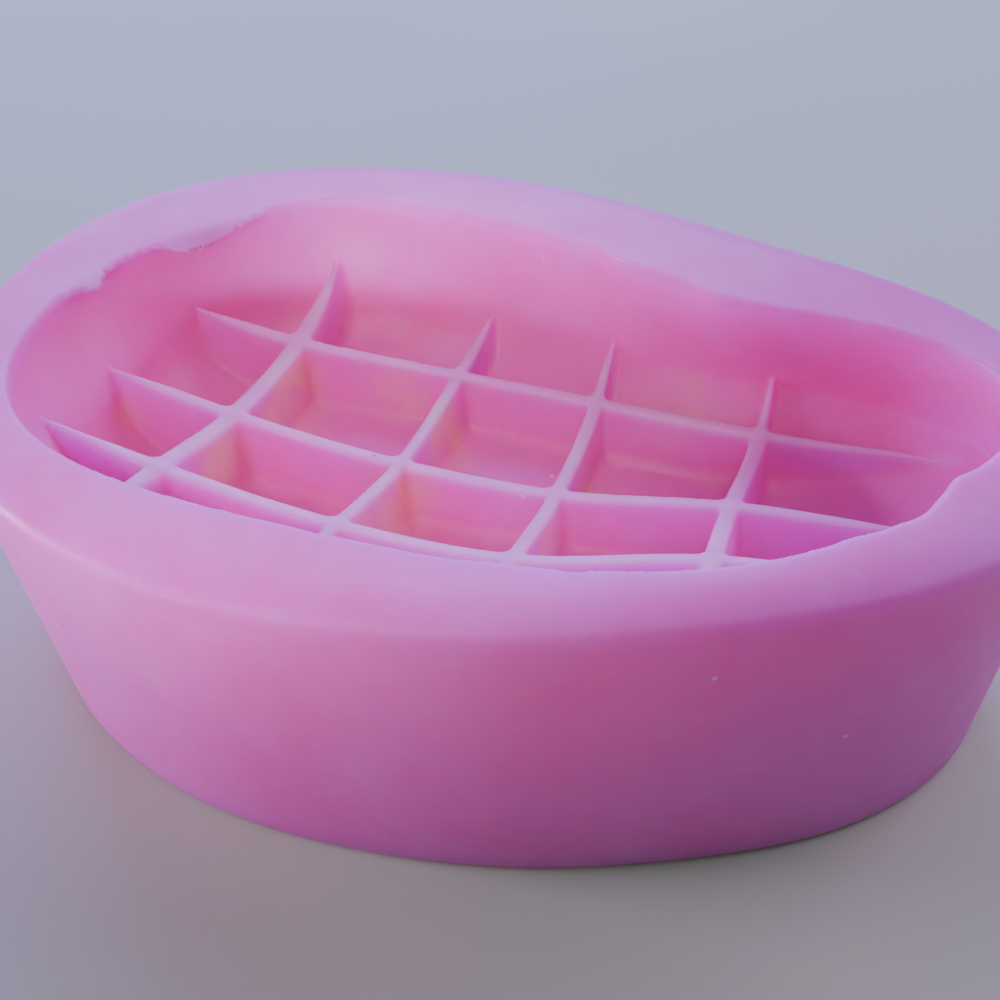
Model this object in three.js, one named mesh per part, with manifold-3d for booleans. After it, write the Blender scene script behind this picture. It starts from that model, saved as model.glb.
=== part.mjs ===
// Silicone soap mould for a diced mango cheek: a thick, pear-shaped open casting. Its broad flat rim
// surrounds a bowl-shaped cavity, and a grid of thin tapered dividers stands on the cavity floor.
// The casting is split into its base, outer wall, rim, cavity floor and the seven dividers.
// Millimetres, +Z up, base on z = 0, X along the length, origin under the middle of the rim outline.
import * as THREE from 'three';
import { mergeVertices } from 'three/addons/utils/BufferGeometryUtils.js';
import Module from 'manifold-3d';

// Heights
const HEIGHT = 36.5;            // table to rim
const RIM_BOTTOM = 31;          // the rim band starts here
const WAIST = 24;               // the bowl's rounding ends here, and the wall leans on up to the mouth
const BASE_TOP = 9;             // the base slab ends here, under the cavity floor

// Outlines: radius from the outline centre at equal angles, starting at +X
const OUTER = [59.1, 52.8, 42.0, 37.8, 39.0, 44.3, 53.0, 60.7, 60.4, 56.8, 51.1, 45.2, 41.6, 41.7, 45.6, 54.1];
const MOUTH = [
  52, 46.8, 31, 25.2, 23.2, 23.5, 24.9, 28, 32.6, 39.4, 43.9, 47.6,
  50.4, 50.7, 48, 42, 36.3, 33, 32, 32.9, 35, 38.8, 43, 47,
];
const CAVITY = [
  53, 52.6, 38.5, 28.7, 24.6, 24.1, 25, 28.3, 32, 37.3, 43.2, 46.8,
  46, 46.4, 44, 38.5, 34, 31, 30.5, 31.3, 33.2, 37, 42, 48.5,
];
const CORNER = [19, 17, 13, 13, 13, 13, 13, 13, 9, 9, 10, 8, 8, 8, 12, 17];  // width of the bowl's rounding
const CENTRE = new THREE.Vector2(0.8, 0.9);
const BASE_SCALE = 0.946;       // the outer wall leans in by this much at the table

// Roundings
const RIM_EDGE = 1.6;            // outer edge of the rim
const LIP_EDGE = 1.2;           // edge of the mouth
const FOOT_EDGE = 1.3;          // bottom edge of the base

// Dividers
const CROSS_X = [-30.2, -9.4, 9.0, 28.2];                    // dividers across the width
const LONG_Y = { rear: 14.5, middle: -2.4, front: -16.9 };   // dividers along the length
const TOP_WIDTH = 1.8;          // thickness at the top edge
const DRAFT = 0.12;             // growth of each side per mm of depth
const LOWEST_TOP = 20.3;        // the top edges' lowest level
const DIVIDER_HEIGHT = 6.6;     // top edges above the floor there
const FLOOR_SHARE = 0.5;        // the floor rises by this share of the top edges' rise
const LAP_SLACK = 0.1;          // clearance in the cross-laps
const GAP = 0.3;                // clearance to curved neighbours

const SEGMENTS = 72;
const STEP = 2.5;               // spacing of a divider's sections

// Smooth periodic curve through radii given at equal angles (trigonometric interpolation).
function outline(radii) {
  const n = radii.length;
  const terms = [];
  for (let k = 0; k <= n / 2; k++) {
    const weight = k === 0 || k === n / 2 ? 1 / n : 2 / n;
    let a = 0;
    let b = 0;
    radii.forEach((r, j) => {
      a += weight * r * Math.cos((2 * Math.PI * k * j) / n);
      b += weight * r * Math.sin((2 * Math.PI * k * j) / n);
    });
    terms.push([a, b]);
  }
  return (t) => terms.reduce((sum, [a, b], k) => sum + a * Math.cos(k * t) + b * Math.sin(k * t), 0);
}

const outer = outline(OUTER);
const mouth = outline(MOUTH);
const cavity = outline(CAVITY);
const corner = outline(CORNER);

// Height of the dividers' top edges at stations over the cavity, one row for each of TOP_Y.
// They sag in the middle and sweep up to pointed tips at the wall.
const TOP_X = [-46, -30, -9.4, 9, 28.4, 50];
const TOP_Y = [-30, -17, -2.3, 14.6, 21, 28];
const TOPS = [
  [31, 29.3, 27.5, 28, 30.5, 31],
  [31, 26.9, 24.3, 24.6, 28.5, 29.5],
  [27.6, 23.9, 21.5, 20.9, 23.3, 23.4],
  [26.8, 24, 21.8, 21.2, 21, 22.1],
  [27.5, 26, 22.2, 24, 25.6, 24],
  [28.5, 29.4, 23, 25.5, 29, 27],
];

// Smooth curve through values at rising stations, level beyond the first and the last.
function through(stations, values, at) {
  const s = THREE.MathUtils.clamp(at, stations[0], stations[stations.length - 1]);
  const i = Math.min(Math.max(stations.findIndex((v) => v >= s), 1), stations.length - 1) - 1;
  const secant = (j) => (values[j + 1] - values[j]) / (stations[j + 1] - stations[j]);
  const slope = (j) => (secant(Math.max(j - 1, 0)) + secant(Math.min(j, stations.length - 2))) / 2;
  const span = stations[i + 1] - stations[i];
  const t = (s - stations[i]) / span;
  return values[i] * (1 + 2 * t) * (1 - t) ** 2 + values[i + 1] * t * t * (3 - 2 * t)
    + span * (slope(i) * t * (1 - t) ** 2 - slope(i + 1) * t * t * (1 - t));
}

const dividerTop = (x, y) => through(TOP_Y, TOPS.map((row) => through(TOP_X, row, x)), y);

const floorHeight = (x, y) =>
  LOWEST_TOP - DIVIDER_HEIGHT + FLOOR_SHARE * (dividerTop(x, y) - LOWEST_TOP);

// One ring of points around the outline centre: radius and height as functions of the angle.
function ring(radius, height) {
  const points = [];
  for (let i = 0; i < SEGMENTS; i++) {
    const t = (2 * Math.PI * i) / SEGMENTS;
    const r = radius(t);
    const x = CENTRE.x + r * Math.cos(t);
    const y = CENTRE.y + r * Math.sin(t);
    points.push(new THREE.Vector3(x, y, typeof height === 'number' ? height : height(x, y, t)));
  }
  return points;
}

// Outer wall surface: straight, leaning in towards the table.
const outerScale = (z) => BASE_SCALE + (1 - BASE_SCALE) * (z / HEIGHT);
const outerRing = (z, inset = 0) => ring((t) => outer(t) * outerScale(z) - inset, z);

// Bowl surface by the turn of its rounding, 0 where the floor starts to curve up, 90 at the waist.
// The sides and the wide end have a round foot, and the narrow end slopes evenly.
function bowlRing(degrees, grow = 0, drop = 0) {
  const phi = THREE.MathUtils.degToRad(degrees);
  const power = (t) => 2 / (1.9 - 0.5 * Math.cos(t) - 0.25 * Math.cos(2 * t));
  const radius = (t) => cavity(t) - corner(t) * (1 - Math.sin(phi) ** power(t)) - grow;
  const height = (x, y, t) => {
    const low = floorHeight(x, y);
    return low + (WAIST - low) * (1 - Math.cos(phi) ** power(t)) - drop;
  };
  return ring(radius, height);
}

function floorRing(share, grow = 0) {
  return ring((t) => share * (cavity(t) - corner(t) - grow), (x, y) => floorHeight(x, y) + grow);
}

// Cavity wall above the waist, closing in or opening out to the mouth.
function throatRing(z, grow = 0) {
  const s = THREE.MathUtils.smoothstep(z, WAIST, HEIGHT - LIP_EDGE);
  return ring((t) => THREE.MathUtils.lerp(cavity(t), mouth(t), s) - grow, z);
}

function lipRing(degrees) {
  const phi = THREE.MathUtils.degToRad(degrees);
  return ring(
    (t) => mouth(t) + LIP_EDGE * (1 - Math.cos(phi)),
    HEIGHT - LIP_EDGE + LIP_EDGE * Math.sin(phi),
  );
}

// Signed volume decides which way the faces have to turn.
function faceOutward(positions, indices) {
  const [a, b, c] = [new THREE.Vector3(), new THREE.Vector3(), new THREE.Vector3()];
  let volume = 0;
  for (let i = 0; i < indices.length; i += 3) {
    a.fromArray(positions, 3 * indices[i]);
    b.fromArray(positions, 3 * indices[i + 1]);
    c.fromArray(positions, 3 * indices[i + 2]);
    volume += a.dot(b.cross(c));
  }
  return volume < 0 ? indices.slice().reverse() : indices;
}

function geometryOf(positions, indices) {
  const geometry = new THREE.BufferGeometry();
  geometry.setAttribute('position', new THREE.Float32BufferAttribute(positions, 3));
  geometry.setIndex(faceOutward(positions, indices));
  geometry.computeVertexNormals();
  return geometry;
}

// Skin over consecutive rings. A loop closes on its first ring, otherwise both ends get a cap.
function skin(rings, loop) {
  const positions = rings.flat().flatMap((p) => p.toArray());
  const indices = [];
  const count = rings[0].length;
  const spans = loop ? rings.length : rings.length - 1;
  for (let j = 0; j < spans; j++) {
    const low = j * count;
    const high = ((j + 1) % rings.length) * count;
    for (let i = 0; i < count; i++) {
      const next = (i + 1) % count;
      indices.push(low + i, low + next, high + next, low + i, high + next, high + i);
    }
  }
  if (!loop) {
    for (const [start, turn] of [[0, 1], [(rings.length - 1) * count, -1]]) {
      const end = rings[start / count];
      const hub = positions.length / 3;
      const middle = end.reduce((sum, p) => sum.add(p), new THREE.Vector3()).divideScalar(count);
      const flat = end.every((p) => p.z === end[0].z);
      positions.push(CENTRE.x, CENTRE.y, flat ? middle.z : floorHeight(CENTRE.x, CENTRE.y));
      for (let i = 0; i < count; i++) {
        const next = (i + 1) % count;
        indices.push(...(turn > 0 ? [hub, start + next, start + i] : [hub, start + i, start + next]));
      }
    }
  }
  return geometryOf(positions, indices);
}

const angles = (from, to, steps) =>
  Array.from({ length: steps + 1 }, (_, i) => from + ((to - from) * i) / steps);

function baseGeometry() {
  const foot = angles(90, 0, 3).map((d) => {
    const phi = THREE.MathUtils.degToRad(d);
    return outerRing(FOOT_EDGE * (1 - Math.sin(phi)), FOOT_EDGE * (1 - Math.cos(phi)));
  });
  return skin([...foot, outerRing(BASE_TOP)], false);
}

const SPLIT = 24;               // turn of the bowl's rounding where the wall takes over from the floor
const heelOf = (edge) => edge.map((p) => new THREE.Vector3(p.x, p.y, BASE_TOP));

function wallGeometry() {
  const bowl = angles(90, SPLIT, 6).map((d) => bowlRing(d));
  const throat = [RIM_BOTTOM, 28.6, 26.3].map((z) => throatRing(z));
  return skin([outerRing(BASE_TOP), outerRing(RIM_BOTTOM), ...throat, ...bowl, heelOf(bowl[6])], true);
}

function floorGeometry() {
  const edge = bowlRing(SPLIT, GAP, GAP / 2);
  const floor = [1, 0.7, 0.35].map((share) => floorRing(share));
  return skin([heelOf(edge), edge, bowlRing(12), ...floor], false);
}

function rimGeometry() {
  const round = angles(0, 90, 4).map((d) => {
    const phi = THREE.MathUtils.degToRad(d);
    return outerRing(HEIGHT - RIM_EDGE * (1 - Math.sin(phi)), RIM_EDGE * (1 - Math.cos(phi)));
  });
  const lip = angles(90, 0, 3).map(lipRing);
  return skin([outerRing(RIM_BOTTOM), ...round, ...lip, throatRing(33.2), throatRing(RIM_BOTTOM)], true);
}

// The casting around the cavity, grown by the gap: what the dividers' feet and ends are trimmed with.
function trimmerGeometry() {
  const bowl = angles(90, 0, 8).map((d) => bowlRing(d, GAP, -GAP * Math.cos((Math.PI * d) / 180)));
  const floor = [0.7, 0.35].map((share) => floorRing(share, GAP));
  const throat = [HEIGHT + 1, 33.2, RIM_BOTTOM, 28.6, 26.3].map((z) => throatRing(z, GAP));
  return skin([outerRing(0, -3), outerRing(HEIGHT + 1, -3), ...throat, ...bowl, ...floor], false);
}

// Divider blade: an upright section every few millimetres, thicker towards its foot.
function bladeGeometry(along, at, from, to, grow = 0) {
  const count = Math.ceil((to - from) / STEP);
  const positions = [];
  for (let i = 0; i <= count; i++) {
    const s = from + ((to - from) * i) / count;
    const [x, y] = along === 'x' ? [s, at] : [at, s];
    const top = dividerTop(x, y);
    const foot = floorHeight(x, y) - 1.5;
    const upper = TOP_WIDTH / 2 + grow;
    const lower = upper + DRAFT * (top - foot);
    for (const [side, z] of [[-lower, foot], [lower, foot], [upper, top], [-upper, top]]) {
      positions.push(...(along === 'x' ? [s, at + side, z] : [at + side, s, z]));
    }
  }
  const indices = [0, 2, 1, 0, 3, 2];
  for (let i = 0; i < count; i++) {
    for (let j = 0; j < 4; j++) {
      const [a, b] = [4 * i + j, 4 * i + ((j + 1) % 4)];
      indices.push(a, b, b + 4, a, b + 4, a + 4);
    }
  }
  const end = 4 * count;
  indices.push(end, end + 1, end + 2, end, end + 2, end + 3);
  return geometryOf(positions, indices);
}

const wasm = await Module();
wasm.setup();

function solid(geometry) {
  const bare = geometry.clone();
  bare.deleteAttribute('normal');
  bare.deleteAttribute('uv');
  const merged = mergeVertices(bare, 1e-5);
  return new wasm.Manifold(new wasm.Mesh({
    numProp: 3,
    vertProperties: new Float32Array(merged.attributes.position.array),
    triVerts: new Uint32Array(merged.index.array),
  }));
}

function geometryFrom(manifold) {
  const mesh = manifold.getMesh();
  const geometry = new THREE.BufferGeometry();
  geometry.setAttribute('position', new THREE.BufferAttribute(Float32Array.from(mesh.vertProperties), 3));
  geometry.setIndex(new THREE.BufferAttribute(Uint32Array.from(mesh.triVerts), 1));
  geometry.computeVertexNormals();
  return geometry;
}

function block(x, y, low, high, size) {
  const box = new THREE.BoxGeometry(size, size, high - low);
  return solid(box.translate(x, y, (low + high) / 2));
}

// The dividers cross like an egg crate: below the lap the long one runs through, above it the cross one.
const lapHeight = (x, y) => Math.round(4 * (dividerTop(x, y) - DIVIDER_HEIGHT / 2)) / 4;

// How far a blade runs each way: a little past the widest line of the cavity.
function reach(along, at, way) {
  const beyond = (s) => {
    const [x, y] = along === 'x' ? [s, at] : [at, s];
    const angle = Math.atan2(y - CENTRE.y, x - CENTRE.x);
    return Math.hypot(x - CENTRE.x, y - CENTRE.y) > cavity(angle) + 1;
  };
  let s = 0;
  while (!beyond(s)) s += way * 0.5;
  return s;
}

const blade = (along, at, grow) =>
  solid(bladeGeometry(along, at, reach(along, at, -1), reach(along, at, 1), grow));

function divider(along, at) {
  const others = along === 'x' ? CROSS_X : Object.values(LONG_Y);
  let body = blade(along, at, 0);
  for (const other of others) {
    const [x, y] = along === 'x' ? [other, at] : [at, other];
    const lap = lapHeight(x, y);
    const [low, high] = along === 'x' ? [lap, 60] : [-20, lap];
    const crossing = blade(along === 'x' ? 'y' : 'x', other, LAP_SLACK);
    body = body.subtract(crossing.intersect(block(x, y, low, high, 9)));
  }
  return geometryFrom(body.subtract(solid(trimmerGeometry())));
}

const group = new THREE.Group();
function add(name, geometry, color, roughness = 0.5) {
  const material = new THREE.MeshStandardMaterial({ color, roughness, metalness: 0 });
  const mesh = new THREE.Mesh(geometry, material);
  mesh.name = name;
  group.add(mesh);
}

add('base', baseGeometry(), 0xc45fae);
add('outer_wall', wallGeometry(), 0xd474bb);
add('rim', rimGeometry(), 0xdc9ad6, 0.45);
add('cavity_floor', floorGeometry(), 0xd25aa6);
for (const [place, y] of Object.entries(LONG_Y)) add(`divider_long_${place}`, divider('x', y), 0xdb8cc8);
CROSS_X.forEach((x, i) => add(`divider_cross_${i + 1}`, divider('y', x), 0xdb8cc8));

export default group;
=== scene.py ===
"""Silicone soap mould: one seamless casting with a bowl-shaped cavity and a grid of thin dividers."""
import math

import bpy
import numpy as np
from mathutils import Matrix, Vector


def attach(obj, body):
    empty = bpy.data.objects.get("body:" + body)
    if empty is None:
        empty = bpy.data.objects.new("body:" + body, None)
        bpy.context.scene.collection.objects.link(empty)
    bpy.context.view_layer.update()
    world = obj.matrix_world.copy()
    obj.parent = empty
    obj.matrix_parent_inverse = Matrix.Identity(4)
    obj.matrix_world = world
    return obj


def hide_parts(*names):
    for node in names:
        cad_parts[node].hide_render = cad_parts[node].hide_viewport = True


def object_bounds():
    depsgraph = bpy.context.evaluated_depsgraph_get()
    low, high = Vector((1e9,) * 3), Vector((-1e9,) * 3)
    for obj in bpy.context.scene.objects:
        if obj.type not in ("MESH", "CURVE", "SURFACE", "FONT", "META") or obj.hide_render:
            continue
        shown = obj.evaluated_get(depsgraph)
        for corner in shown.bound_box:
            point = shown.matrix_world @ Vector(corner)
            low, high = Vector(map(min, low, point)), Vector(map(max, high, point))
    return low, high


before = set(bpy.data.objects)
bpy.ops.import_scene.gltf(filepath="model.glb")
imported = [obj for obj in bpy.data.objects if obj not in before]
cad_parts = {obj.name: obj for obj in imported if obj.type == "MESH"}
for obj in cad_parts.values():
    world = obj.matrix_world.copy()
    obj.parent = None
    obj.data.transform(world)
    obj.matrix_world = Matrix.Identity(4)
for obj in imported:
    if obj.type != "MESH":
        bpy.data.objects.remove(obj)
CAD_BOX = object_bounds()

MM = 0.001                      # one millimetre in metres
PER_METRE = 1000.0

# ---------------------------------------------------------------- sizes, millimetres, CAD frame
CAD_LOW, CAD_HIGH = (np.array(v, float) * PER_METRE for v in CAD_BOX)
HEIGHT = CAD_HIGH[2]
WAIST = 24.0                    # the bowl's rounding ends here, and the wall leans on up to the mouth
THROAT = HEIGHT - 1.2           # the wall reaches the mouth's outline here
CENTRE = (0.8, 0.9)             # centre that the outlines are measured from
# Outlines: radius from the centre at equal angles, starting at +X
OUTER = (59.1, 52.8, 42.0, 37.8, 39.0, 44.3, 53.0, 60.7, 60.4, 56.8, 51.1, 45.2, 41.6, 41.7, 45.6, 54.1)
MOUTH = (
    52, 46.8, 31, 25.2, 23.2, 23.5, 24.9, 28, 32.6, 39.4, 43.9, 47.6,
    50.4, 50.7, 48, 42, 36.3, 33, 32, 32.9, 35, 38.8, 43, 47,
)
CAVITY = (
    53, 52.6, 38.5, 28.7, 24.6, 24.1, 25, 28.3, 32, 37.3, 43.2, 46.8,
    46, 46.4, 44, 38.5, 34, 31, 30.5, 31.3, 33.2, 37, 42, 48.5,
)
# Width of the bowl's rounding, from the wall inward
CORNER = (19, 17, 13, 13, 13, 13, 13, 13, 9, 9, 10, 8, 8, 8, 12, 17)
BASE_SCALE = 0.946              # size of the foot's outline against the rim's
BEVEL = (2.4, 1.0)              # worn bevel round the rim's outer edge: width and height
BEVEL_TOP_EDGE, BEVEL_LOW_EDGE = 0.8, 0.7   # rounding of the bevel's two edges
FOOT_EDGE = 1.3
LIP_EDGE = 1.2                  # rounding of the mouth's edge
LIP_EXTRA = 0.5                 # it is rounder by this on the far side, and again at one worn place
LIP_WORN_AT, LIP_WORN_WIDTH = 0.95, 0.4     # radians

# Dividers: height of the top edges over the cavity, one row for each of TOP_Y
TOP_X = (-46, -30, -9.4, 9, 28.4, 50)
TOP_Y = (-30, -17, -2.3, 14.6, 21, 28)
TOPS = (
    (31, 29.3, 27.5, 28, 30.5, 31),
    (31, 26.9, 24.3, 24.6, 28.5, 29.5),
    (27.6, 23.9, 21.5, 20.9, 23.3, 23.4),
    (26.8, 24, 21.8, 21.2, 21, 22.1),
    (27.5, 26, 22.2, 24, 25.6, 24),
    (28.5, 29.4, 23, 25.5, 29, 27),
)
LOWEST_TOP = 20.3               # lowest level of the top edges
DIVIDER_HEIGHT = 6.6            # where the top edge is lowest
FLOOR_SHARE = 0.5               # the bowl's floor rises by this share of the top edge's rise

# Position of each divider at a few stations along it, and half the thickness of its top edge
CROSS_AT = (22.0, 14.6, -2.4, -17.0)        # y stations of the cross dividers
CROSS = (
    ((-29.5, -29.8, -30.2, -30.7), 0.95),
    ((-8.7, -8.8, -9.2, -10.0), 0.68),
    ((8.8, 8.9, 9.0, 9.0), 0.75),
    ((28.7, 28.5, 27.8, 28.2), 0.82),
)
LONG_AT = (-45.0, -30.2, -9.4, 9.0, 28.2)   # x stations of the long dividers
LONG = (
    ((14.3, 14.2, 15.5, 15.0, 14.5), 0.62),
    ((-2.4, -2.3, -2.8, -2.4, -1.6), 0.76),
    ((-16.7, -16.7, -17.4, -17.6, -16.0), 0.85),
)
DRAFT = 0.12                    # the dividers get thicker downward by this slope on each side
TOP_EDGE = 0.35                 # rounding of the top edges
CROSS_FILLET = 1.0              # fillet where two dividers cross
TIP_LENGTH = 8.0                # a divider narrows over this length where it runs out on the wall
TIP_NARROWING = 0.75            # share of its thickness that it loses there
FOOT_FILLET = 0.35              # fillet between divider and bowl, and how it grows downward
FOOT_FILLET_GROWTH = 0.3
TIP_FOOT = 0.6                  # share by which that fillet shrinks at a tip
FAR_SIDE = (12, 16)             # y range in which the tips of the far wall begin
ENDS = (26, 32)                 # the same for both ends, as the distance from x = 0
BURIED = 3.0                    # the dividers go this deep into the bowl's wall
LOWEST_BLADE = 6.0              # no divider reaches below this level
FAR_AWAY = 50.0                 # distance that stands for no divider nearby
AIR_LIMIT = 12.0                # the cavity's distance field is cut off here


def periodic(radii):
    """Smooth closed curve through radii at equal angles: returns value and slope functions."""
    spectrum = np.fft.rfft(np.array(radii, float)) / len(radii)
    half = len(radii) // 2
    weight = np.array([1.0] + [2.0] * (half - 1) + [1.0])
    cos_part, sin_part = (weight * spectrum.real)[:, None], (-weight * spectrum.imag)[:, None]
    turn = np.linspace(-math.pi, math.pi, 2881)
    k = np.arange(half + 1)[:, None]
    value = (cos_part * np.cos(k * turn) + sin_part * np.sin(k * turn)).sum(0)
    slope = (k * (sin_part * np.cos(k * turn) - cos_part * np.sin(k * turn))).sum(0)
    return (lambda t: np.interp(t, turn, value)), (lambda t: np.interp(t, turn, slope))


outer, outer_slope = periodic(OUTER)
mouth, mouth_slope = periodic(MOUTH)
cavity, cavity_slope = periodic(CAVITY)
corner, _ = periodic(CORNER)


def smoothstep(low, high, v):
    s = np.clip((v - low) / (high - low), 0, 1)
    return s * s * (3 - 2 * s)


def round_and(a, b, radius):
    """Intersection with a rounded edge."""
    corner_distance = np.hypot(np.maximum(a + radius, 0), np.maximum(b + radius, 0))
    return np.minimum(np.maximum(a, b), -radius) + corner_distance


def blend_or(a, b, radius):
    """Union with a fillet."""
    h = np.maximum(radius - np.abs(a - b), 0) / radius
    return np.minimum(a, b) - h * h * radius * 0.25


def through(stations, values, at):
    """Smooth curve through values at rising stations, level beyond the first and the last."""
    last = len(stations) - 1
    knots = np.array(stations, float)
    rows = np.stack([np.broadcast_to(v, at.shape) for v in values]).astype(float)
    secant = (rows[1:] - rows[:-1]) / np.diff(knots).reshape((-1,) + (1,) * at.ndim)
    slope = np.stack([(secant[max(j - 1, 0)] + secant[min(j, last - 1)]) / 2 for j in range(last + 1)])
    s = np.clip(at, knots[0], knots[last])
    i = np.clip(np.searchsorted(knots, s), 1, last) - 1
    span = knots[i + 1] - knots[i]
    t = (s - knots[i]) / span

    def pick(table, row):
        return np.take_along_axis(table, row[None], 0)[0]

    ends = pick(rows, i) * (1 + 2 * t) * (1 - t) ** 2 + pick(rows, i + 1) * t * t * (3 - 2 * t)
    return ends + span * (pick(slope, i) * t * (1 - t) ** 2 - pick(slope, i + 1) * t * t * (1 - t))


def grid_lookup(function, low, high, step=0.25):
    """Function of x and y, read from a fine table by bilinear interpolation."""
    xs = np.arange(low[0] - 2, high[0] + 2 + step, step)
    ys = np.arange(low[1] - 2, high[1] + 2 + step, step)
    table = function(*np.meshgrid(xs, ys, indexing="ij"))

    def read(x, y):
        u = np.clip((x - xs[0]) / step, 0, len(xs) - 1.001)
        v = np.clip((y - ys[0]) / step, 0, len(ys) - 1.001)
        i, j = u.astype(int), v.astype(int)
        u, v = u - i, v - j
        return (
            table[i, j] * (1 - u) * (1 - v) + table[i + 1, j] * u * (1 - v)
            + table[i, j + 1] * (1 - u) * v + table[i + 1, j + 1] * u * v
        )

    return read


def exact_top(x, y):
    return through(TOP_Y, [through(TOP_X, row, x) for row in TOPS], y)


divider_top = grid_lookup(exact_top, CAD_LOW, CAD_HIGH)


def curve(stations, values):
    """Centre line of a divider: a smooth curve through its stations, going on straight beyond them."""
    order = np.argsort(stations)
    at, to = np.array(stations)[order], np.array(values)[order]
    fine = np.linspace(at[0], at[-1], 121)
    table = through(at, to, fine)
    first, last = (table[1] - table[0]) / (fine[1] - fine[0]), (table[-1] - table[-2]) / (fine[1] - fine[0])

    def read(s):
        before, after = first * np.minimum(s - at[0], 0), last * np.maximum(s - at[-1], 0)
        return np.interp(s, fine, table) + before + after

    return read


CROSS_LINES = [(curve(CROSS_AT, values), half) for values, half in CROSS]
LONG_LINES = [(curve(LONG_AT, values), half) for values, half in LONG]


# Local dents of the mouth's edge: angle in degrees, half width in degrees, depth
DENTS = (
    (-19.5, 4.0, 1.1), (-24.5, 1.6, 0.3), (-11.5, 1.5, -0.5),
    (-60, 2.5, 0.35), (-71, 2.0, -0.25), (-98, 3, 0.25),
)


def dents(t):
    degrees = np.degrees(t)
    return sum(depth * np.exp(-((degrees - at) / width) ** 2) for at, width, depth in DENTS)


# Torn skin of silicone left at the mouth's edge: how far it reaches inward and how far it hangs down,
# by angle in degrees
FLASH_AT = (146, 150, 153, 157, 160, 163, 166.2, 167.0, 170, 173, 176, 178, 180, 181.2, 182.5, 186)
FLASH_REACH = (0, 0.3, 1.3, 2.2, 2.5, 3.1, 2.9, 0.7, 0.4, 0.3, 0.8, 1.8, 2.8, 1.0, 0.4, 0)
FLASH_DROOP = (0, 0.2, 0.5, 0.9, 1.3, 1.2, 0.5, 0.2, 0.1, 0.1, 0.2, 0.3, 0.4, 0.2, 0, 0)
FLASH_HALF = 0.45               # half its thickness at the rim, and how much thinner it gets inward
FLASH_THINNING = 0.2
FLASH_LENGTH = 3.0              # it thins and hangs down over this length
FLASH_ROOT = 2.0                # it starts this far inside the rim
FLASH_WAVES = ((0.16, 3.1, 0), (0.12, 7.3, 1), (0.08, 17.9, 0))     # height, rate, phase


def flash(t, r, z, rim):
    """Distance to the torn skin, a thin shelf that hangs a little below the rim's face."""
    degrees = np.degrees(t) % 360
    reach = np.interp(degrees, FLASH_AT, FLASH_REACH)
    droop = np.interp(degrees, FLASH_AT, FLASH_DROOP)
    ragged = sum(high * np.sin(degrees * rate + phase) for high, rate, phase in FLASH_WAVES)
    reach = np.where(reach > 0.25, reach + ragged, reach - 0.3)
    inward = rim - r
    share = np.clip(inward / FLASH_LENGTH, 0, 1)
    middle = HEIGHT - FLASH_HALF - droop * share * share
    half = FLASH_HALF - FLASH_THINNING * share
    sheet = np.maximum(np.abs(z - middle) - half, inward - reach)
    return np.maximum(sheet, -inward - FLASH_ROOT)


def outside(r, t, z):
    """Distance to the outer wall, the rim's face and the underside, as if there were no cavity."""
    radius = outer(t)
    scale = BASE_SCALE + (1 - BASE_SCALE) * z / HEIGHT
    side = (r - radius * scale) / np.hypot(1, outer_slope(t) / radius)
    bevel = (side * BEVEL[1] + (z - HEIGHT + BEVEL[1]) * BEVEL[0]) / math.hypot(*BEVEL)
    solid = round_and(side, round_and(bevel, z - HEIGHT, BEVEL_TOP_EDGE), BEVEL_LOW_EDGE)
    return round_and(solid, -z, FOOT_EDGE)


def cavity_air(r, t, z, upper, top):
    """Distance to the cavity's wall and floor, negative in the air: a rounded bowl up to WAIST."""
    rise = np.clip((z - WAIST) / (THROAT - WAIST), 0, 1)
    s = rise * rise * (3 - 2 * rise)
    lower = cavity(t)
    wall = lower * (1 - s) + upper * s
    lean = (upper - lower) * 6 * rise * (1 - rise) / (THROAT - WAIST)
    turn = np.sqrt(1 + ((cavity_slope(t) * (1 - s) + mouth_slope(t) * s) / wall) ** 2 + lean ** 2)
    low = LOWEST_TOP - DIVIDER_HEIGHT + FLOOR_SHARE * (top - LOWEST_TOP)
    a, b = corner(t), WAIST - low
    n = 1.9 - 0.5 * np.cos(t) - 0.25 * np.cos(2 * t)       # fuller at the wide end
    u = np.maximum((r - wall + a) / a, 1e-3)
    v = np.maximum((WAIST - z) / b, 1e-3)
    g = (u ** n + v ** n) ** (1 / n)
    air = (g - 1) / np.hypot((u / g) ** (n - 1) * turn / a, (v / g) ** (n - 1) / b)
    return np.clip(air, -AIR_LIMIT, AIR_LIMIT)


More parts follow.
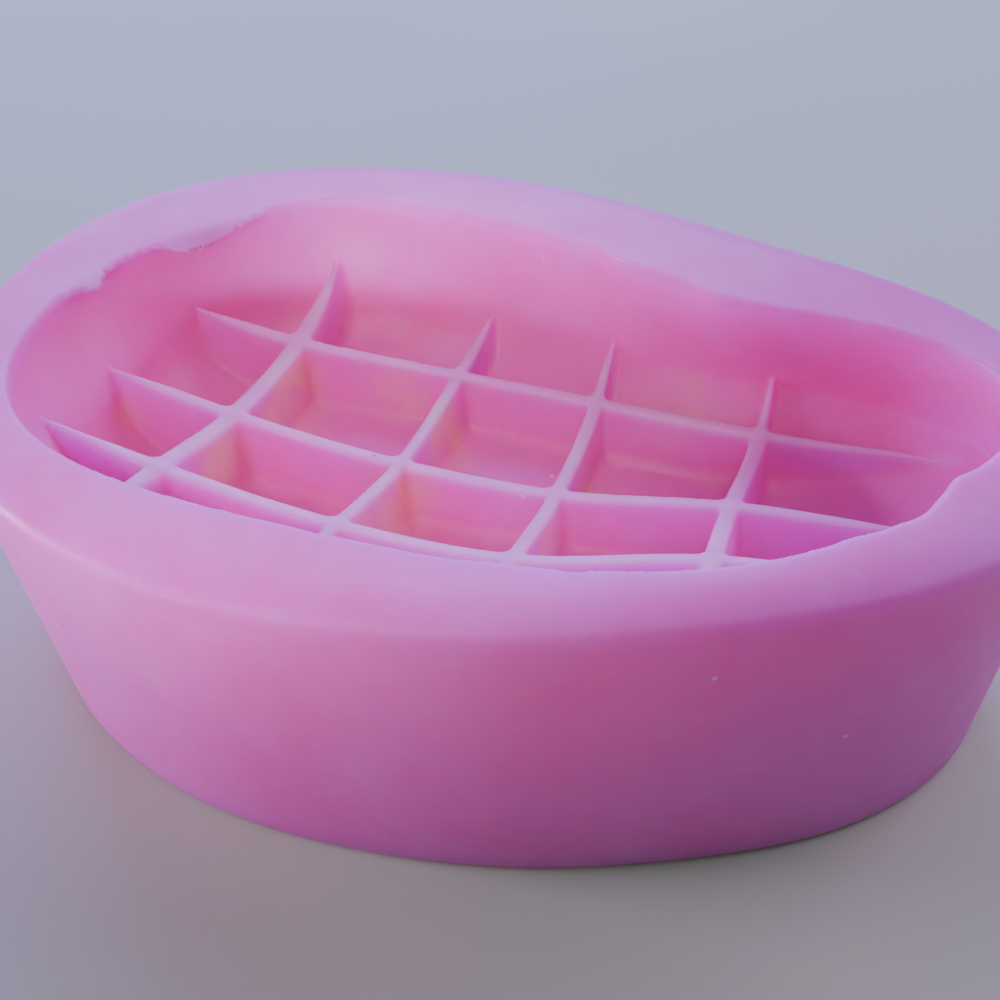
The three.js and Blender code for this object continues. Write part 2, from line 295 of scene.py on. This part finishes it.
def casting(x, y, z):
    """Signed distance to the casting's surface, in millimetres, negative inside."""
    x, y = x + 0 * y, y + 0 * x
    dx, dy = x - CENTRE[0], y - CENTRE[1]
    r = np.hypot(dx, dy) + 1e-6
    t = np.arctan2(dy, dx)
    top = divider_top(x, y)
    rim = mouth(t) + dents(t)

    # tub with its lip and the torn skin
    air = cavity_air(r, t, z, rim, top)
    worn = np.exp(-((t - LIP_WORN_AT) / LIP_WORN_WIDTH) ** 2)
    lip = LIP_EDGE + LIP_EXTRA * np.maximum(np.sin(t), 0) + LIP_EXTRA * worn
    shell = round_and(outside(r, t, z), -air, lip)
    shell = blend_or(shell, np.maximum(flash(t, r, z, rim), z - HEIGHT), 0.5)

    # dividers, thinning to a point where they run out on the far wall and on both ends
    depth = np.clip(top - z, 0, 12)
    point = 1 - smoothstep(0, TIP_LENGTH, -air)
    far_tip, end_tip = point * smoothstep(*FAR_SIDE, y), point * smoothstep(*ENDS, np.abs(x))
    fins = np.full(np.broadcast(x, y, z).shape, FAR_AWAY)
    for lines, across, along, tip in ((CROSS_LINES, x, y, far_tip), (LONG_LINES, y, x, end_tip)):
        for line, half in lines:
            half = half * (1 - TIP_NARROWING * tip)
            blade = (np.abs(across - line(along)) - half - DRAFT * depth) / math.hypot(1, DRAFT)
            fins = blend_or(fins, round_and(blade, z - top, TOP_EDGE), CROSS_FILLET)
    fins = np.maximum(fins, np.maximum(air - BURIED, LOWEST_BLADE - z))
    foot = FOOT_FILLET_GROWTH * np.clip(depth, 0, 6) * (1 - TIP_FOOT * np.maximum(far_tip, end_tip))
    return blend_or(shell, fins, FOOT_FILLET + foot)


def surface_nets(sampler, low, high, step):
    """Closed quad mesh of the zero surface of a sampled field."""
    counts = [int(math.ceil((h - l) / step)) + 1 for l, h in zip(low, high)]
    xs, ys, zs = (l + step * np.arange(c) for l, c in zip(low, counts))
    field = np.empty(counts, np.float32)
    for i in range(0, counts[0], 24):
        field[i:i + 24] = sampler(xs[i:i + 24, None, None], ys[None, :, None], zs[None, None, :])
    inside = field < 0

    cell_shape = tuple(c - 1 for c in counts)
    total = np.zeros(cell_shape + (3,), np.float32)
    crossings = np.zeros(cell_shape, np.int16)
    quads = []
    for axis in range(3):
        a = [slice(None)] * 3
        b = [slice(None)] * 3
        a[axis], b[axis] = slice(0, -1), slice(1, None)
        fa, fb = field[tuple(a)], field[tuple(b)]
        change = inside[tuple(a)] != inside[tuple(b)]
        i, j, k = np.nonzero(change)
        va, vb = fa[i, j, k], fb[i, j, k]
        along = va / (va - vb)
        point = np.stack([i, j, k], 1).astype(np.float32)
        point[:, axis] += along
        others = [o for o in range(3) if o != axis]
        index = np.stack([i, j, k], 1)
        ring = []
        for du, dv in ((0, 0), (1, 0), (1, 1), (0, 1)):
            cell = index.copy()
            cell[:, others[0]] -= du
            cell[:, others[1]] -= dv
            keep = ((cell >= 0) & (cell < np.array(cell_shape))).all(1)
            c = cell[keep]
            np.add.at(total, (c[:, 0], c[:, 1], c[:, 2]), point[keep])
            np.add.at(crossings, (c[:, 0], c[:, 1], c[:, 2]), 1)
            ring.append(cell)
        ring = np.stack(ring, 1)
        flip = inside[tuple(a)][i, j, k] != (axis == 1)
        ring[flip] = ring[flip][:, ::-1]
        quads.append(ring)
    used = crossings > 0
    number = np.full(cell_shape, -1, np.int64)
    number[used] = np.arange(used.sum())
    vertices = total[used] / crossings[used][:, None]
    vertices = vertices * step + np.array(low)
    ring = np.concatenate(quads)
    faces = number[ring[..., 0], ring[..., 1], ring[..., 2]]
    return vertices, faces


def settle(vertices, sampler, rounds=2, h=0.05):
    """Moves the vertices onto the exact surface."""
    p = vertices.astype(float)
    for _ in range(rounds):
        x, y, z = p.T
        f = sampler(x, y, z)
        g = np.stack([
            sampler(x + h, y, z) - sampler(x - h, y, z),
            sampler(x, y + h, z) - sampler(x, y - h, z),
            sampler(x, y, z + h) - sampler(x, y, z - h),
        ], 1) / (2 * h)
        g /= np.maximum((g * g).sum(1), 0.2)[:, None]
        p -= np.clip(f, -0.3, 0.3)[:, None] * g
    return p


def mesh_object(name, vertices, faces):
    mesh = bpy.data.meshes.new(name)
    mesh.vertices.add(len(vertices))
    mesh.vertices.foreach_set("co", (vertices * MM).astype(np.float32).ravel())
    mesh.loops.add(faces.size)
    mesh.loops.foreach_set("vertex_index", faces.astype(np.int32).ravel())
    mesh.polygons.add(len(faces))
    mesh.polygons.foreach_set("loop_start", np.arange(0, faces.size, 4, dtype=np.int32))
    mesh.polygons.foreach_set("loop_total", np.full(len(faces), 4, np.int32))
    mesh.update(calc_edges=True)
    mesh.validate()
    mesh.shade_smooth()
    piece = bpy.data.objects.new(name, mesh)
    bpy.context.scene.collection.objects.link(piece)
    return piece


step = 0.4       # size of the sampling grid, millimetres
margin = 1.0
points, faces = surface_nets(casting, CAD_LOW - margin, CAD_HIGH + margin, step)
points = settle(points, casting)
points = np.clip(points, CAD_LOW, CAD_HIGH)
body = mesh_object("mould_casting", points, faces)
print("casting", len(points), "vertices", len(faces), "faces")


def painted_edge_glow(x, y, z):
    """1 on the top edges of the dividers, fading out a little way down their faces: the mask of a painted
    glow, a paler pink standing in for light passing through the thin edges.
    """
    r, t = np.hypot(x - CENTRE[0], y - CENTRE[1]), np.arctan2(y - CENTRE[1], x - CENTRE[0])
    inside = smoothstep(0.5, 4.0, cavity(t) - r)
    gap = np.full(x.shape, FAR_AWAY)
    for lines, across, along in ((CROSS_LINES, x, y), (LONG_LINES, y, x)):
        for line, half in lines:
            gap = np.minimum(gap, np.abs(across - line(along)) - half)
    below = divider_top(x, y) - z
    return inside * smoothstep(0.8, 0.1, gap) * smoothstep(1.3, 0.2, below) * (below > -0.6)


# painted glow: per-vertex mask of the divider tops, where a paler pink stands in for light passing through
# the thin edges
painted_glow_attribute = body.data.attributes.new("painted_edge_glow", "FLOAT", "POINT")
painted_glow_attribute.data.foreach_set("value", painted_edge_glow(*points.T).astype(np.float32))

# ---------------------------------------------------------------- material
PINK_DEEP = (0.93, 0.13, 0.58, 1)
PINK_PALE = (0.96, 0.18, 0.69, 1)
PINK_MILKY = (0.96, 0.30, 0.75, 1)      # paler film where the mould was wiped
PINK_PAINTED_GLOW = (0.97, 0.48, 0.84, 1)       # painted glow: paler pink on the thin divider tops, standing in for light passing through them
ORANGE = (0.98, 0.50, 0.36, 1)
PALE_DUST = (0.95, 0.72, 0.85, 1)
DARK_DUST = (0.35, 0.08, 0.20, 1)


class Nodes:
    """Short forms for the shader nodes used below."""

    def __init__(self, material):
        material.use_nodes = True
        self.tree = material.node_tree
        self.shader = self.tree.nodes["Principled BSDF"]

    def put(self, kind, inputs=(), **settings):
        node = self.tree.nodes.new(kind)
        for name, value in settings.items():
            setattr(node, name, value)
        for name, value in dict(inputs).items():
            if isinstance(value, bpy.types.NodeSocket):
                self.tree.links.new(value, node.inputs[name])
            else:
                node.inputs[name].default_value = value
        return node

    def math(self, operation, a, b=0.0):
        return self.put("ShaderNodeMath", {0: a, 1: b}, operation=operation).outputs[0]

    def ramp(self, value, low, high, to_low=0.0, to_high=1.0):
        inputs = {"Value": value, "From Min": low, "From Max": high, "To Min": to_low, "To Max": to_high}
        return self.put("ShaderNodeMapRange", inputs, interpolation_type="SMOOTHSTEP").outputs["Result"]

    def mix(self, share, a, b):
        node = self.put("ShaderNodeMix", {0: share, 6: a, 7: b}, data_type="RGBA", blend_type="MIX")
        return node.outputs[2]      # sockets 6, 7 and 2 are the colour ones

    def noise(self, where, scale, detail=2.0, roughness=0.5, distortion=0.0):
        inputs = {
            "Vector": where, "Scale": scale, "Detail": detail,
            "Roughness": roughness, "Distortion": distortion,
        }
        return self.put("ShaderNodeTexNoise", inputs).outputs["Fac"]

    def link(self, source, name):
        self.tree.links.new(source, self.shader.inputs[name])


# Orange stains left in the cells by an earlier pour: centre and radius in millimetres, strength
STAINS = (
    ((-29.4, 8.5, 19.5), 7.0, 0.95), ((-28.6, 2.5, 18.5), 5.0, 0.8), ((-29.8, -8.5, 21.0), 6.5, 0.75),
    ((-8.6, -7.5, 19.0), 7.0, 0.7), ((-8.2, 7.5, 18.5), 7.0, 0.95), ((-6.5, -15.0, 20.0), 6.0, 0.8),
    ((2.5, -16.0, 19.0), 5.5, 0.7), ((9.6, 7.0, 17.5), 6.5, 0.95), ((9.8, -8.5, 19.0), 6.0, 0.8),
    ((-44.0, -2.6, 22.0), 4.0, 0.3), ((-16.0, 13.4, 19.0), 5.5, 0.5), ((-22.0, -16.4, 21.0), 5.0, 0.45),
    ((18.0, 18.5, 19.0), 7.0, 0.4), ((16.0, -16.4, 19.0), 5.0, 0.45),
)


def silicone():
    material = bpy.data.materials.new("pink_silicone")
    n = Nodes(material)
    place = n.put("ShaderNodeTexCoord").outputs["Object"]
    mm = n.put("ShaderNodeVectorMath", {0: place, 1: (PER_METRE,) * 3}, operation="MULTIPLY").outputs[0]

    # pigment: uneven mixing, wide and fine
    wide = n.noise(mm, 0.035, 3.0, 0.55, 0.6)
    fine = n.noise(mm, 0.30, 4.0, 0.6)
    color = n.mix(n.ramp(wide, 0.32, 0.68), PINK_DEEP, PINK_PALE)
    color = n.mix(n.ramp(fine, 0.42, 0.75, 0.0, 0.22), color, PINK_MILKY)

    # stains with uneven edges
    rough_edge = n.noise(mm, 0.16, 3.0, 0.5, 0.4)
    stain = None
    for centre, radius, strength in STAINS:
        away = n.put("ShaderNodeVectorMath", {0: mm, 1: centre}, operation="DISTANCE").outputs["Value"]
        spot = n.ramp(away, 0.25 * radius, radius, strength, 0.0)
        stain = spot if stain is None else n.math("MAXIMUM", stain, spot)
    stain = n.math("MULTIPLY", stain, n.ramp(rough_edge, 0.36, 0.58, 0.35, 1.0))
    color = n.mix(stain, color, ORANGE)

    # top edges of the dividers: painted glow, a paler pink standing in for light passing through the thin
    # edges
    painted_edge_glow = n.put("ShaderNodeAttribute", attribute_name="painted_edge_glow").outputs["Fac"]
    color = n.mix(n.math("MULTIPLY", painted_edge_glow, 0.5), color, PINK_PAINTED_GLOW)

    # dust: sparse pale flecks and a few dark ones
    cells = n.put("ShaderNodeTexVoronoi", {"Vector": mm, "Scale": 0.16, "Randomness": 1.0})
    chance = n.put("ShaderNodeSeparateColor", {"Color": cells.outputs["Color"]}).outputs
    speck = n.ramp(cells.outputs["Distance"], 0.035, 0.055, 1.0, 0.0)
    pale = n.math("MULTIPLY", speck, n.math("GREATER_THAN", chance[0], 0.80))
    dark = n.math("MULTIPLY", speck, n.math("LESS_THAN", chance[0], 0.05))
    color = n.mix(n.math("MULTIPLY", pale, 0.55), color, PALE_DUST)
    color = n.mix(n.math("MULTIPLY", dark, 0.5), color, DARK_DUST)
    n.link(color, "Base Color")

    # satin surface, duller where it was handled
    wear = n.noise(mm, 0.11, 4.0, 0.6, 0.3)
    n.link(n.ramp(wear, 0.3, 0.7, 0.40, 0.54), "Roughness")
    grain = n.noise(mm, 1.6, 3.0, 0.6)
    waves = n.noise(mm, 0.16, 2.0, 0.5)
    height = n.math("ADD", n.math("MULTIPLY", grain, 0.02), n.math("MULTIPLY", waves, 0.22))
    height = n.math("ADD", height, n.math("MULTIPLY", pale, 0.05))
    bump = n.put("ShaderNodeBump", {"Height": height, "Strength": 0.55, "Distance": MM})
    n.link(bump.outputs["Normal"], "Normal")

    shader = n.shader
    shader.inputs["IOR"].default_value = 1.41
    shader.inputs["Subsurface Weight"].default_value = 1.0
    shader.inputs["Subsurface Radius"].default_value = (1.0, 0.35, 0.65)
    shader.inputs["Subsurface Scale"].default_value = 0.009
    return material


body.data.materials.append(silicone())
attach(body, "root")
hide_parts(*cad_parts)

# ---------------------------------------------------------------- camera, floor, lights
CAMERA_AT = Vector((0.037896, -0.099061, 0.103868))
SENSOR = 36
FOCAL = 1.1943 * SENSOR
PITCH, ROLL, YAW = (math.radians(v) for v in (39.728, -2.524, 20.141))      # pitch is downward


def place_camera():
    heading = Vector((-math.sin(YAW), math.cos(YAW), 0))
    right = Vector((math.cos(YAW), math.sin(YAW), 0))
    up = Vector((0, 0, 1))
    forward = math.cos(PITCH) * heading - math.sin(PITCH) * up
    above = math.sin(PITCH) * heading + math.cos(PITCH) * up
    right, above = (
        math.cos(ROLL) * right + math.sin(ROLL) * above,
        -math.sin(ROLL) * right + math.cos(ROLL) * above,
    )
    data = bpy.data.cameras.new("camera")
    data.sensor_width = SENSOR
    data.lens = FOCAL
    data.clip_start = 0.005
    camera = bpy.data.objects.new("camera", data)
    columns = Matrix((right, above, -forward)).transposed().to_4x4()
    camera.matrix_world = Matrix.Translation(CAMERA_AT) @ columns
    bpy.context.scene.collection.objects.link(camera)
    bpy.context.scene.camera = camera


place_camera()
FLOOR_COLOR = (0.57, 0.60, 0.52, 1)


def stage():
    mesh = bpy.data.meshes.new("floor")
    s = 1.5     # half its side, metres
    mesh.from_pydata([(-s, -s, 0), (s, -s, 0), (s, s, 0), (-s, s, 0)], [], [(0, 1, 2, 3)])
    floor = bpy.data.objects.new("floor", mesh)
    bpy.context.scene.collection.objects.link(floor)
    material = bpy.data.materials.new("pale_floor")
    material.use_nodes = True
    shader = material.node_tree.nodes["Principled BSDF"]
    shader.inputs["Base Color"].default_value = FLOOR_COLOR
    shader.inputs["Roughness"].default_value = 0.7
    floor.data.materials.append(material)


stage()


def aim(data, at, target):
    """Puts a light at a place, in metres, and turns it to its target."""
    light = bpy.data.objects.new(data.name, data)
    light.location = at
    light.rotation_euler = (Vector(target) - Vector(at)).to_track_quat("-Z", "Y").to_euler()
    bpy.context.scene.collection.objects.link(light)


def lamp(name, azimuth, elevation, size, power, color):
    """Square soft light, one metre from the mould, placed by its bearing in degrees from +X."""
    data = bpy.data.lights.new(name, "AREA")
    data.shape = "RECTANGLE"
    data.size = data.size_y = size
    data.energy, data.color = power, color
    a, e = math.radians(azimuth), math.radians(elevation)
    aim(data, (math.cos(a) * math.cos(e), math.sin(a) * math.cos(e), math.sin(e)), (0, 0, 0.02))


lamp("window", 120, 34, 0.8, 12.6, (0.34, 0.41, 1.0))
lamp("window_right", 80, 40, 0.7, 2.4, (0.45, 0.75, 1.0))
lamp("left", 194, 9, 0.3, 11.3, (0.82, 0.66, 1.0))
lamp("back_right", 40, 34, 0.6, 4.6, (0.95, 0.58, 1.0))
lamp("ceiling", 290, 72, 0.6, 2.0, (0.50, 0.76, 0.76))
lamp("front", 262, 25, 0.6, 0.7, (0.70, 1.0, 0.55))


def snoot(name, at, target, angle, power, color, radius):
    """Narrow soft spot that reaches into the cavity only; the angle is in degrees."""
    data = bpy.data.lights.new(name, "SPOT")
    data.energy, data.color = power, color
    data.spot_size, data.spot_blend = math.radians(angle), 1.0
    data.shadow_soft_size = radius
    aim(data, at, target)


snoot("cavity_light", (0.02, -0.34, 0.36), (-0.012, 0.004, 0.020), 12.5, 5.0, (1.0, 0.66, 0.72), 0.015)
snoot("far_wall_light", (0.0, -0.36, 0.118), (-0.026, 0.028, 0.040), 9.5, 8.0, (0.68, 0.88, 1.0), 0.022)

world = bpy.data.worlds.new("world")
bpy.context.scene.world = world
world.use_nodes = True
world.node_tree.nodes["Background"].inputs["Color"].default_value = (0.80, 0.84, 0.92, 1)
world.node_tree.nodes["Background"].inputs["Strength"].default_value = 0.04
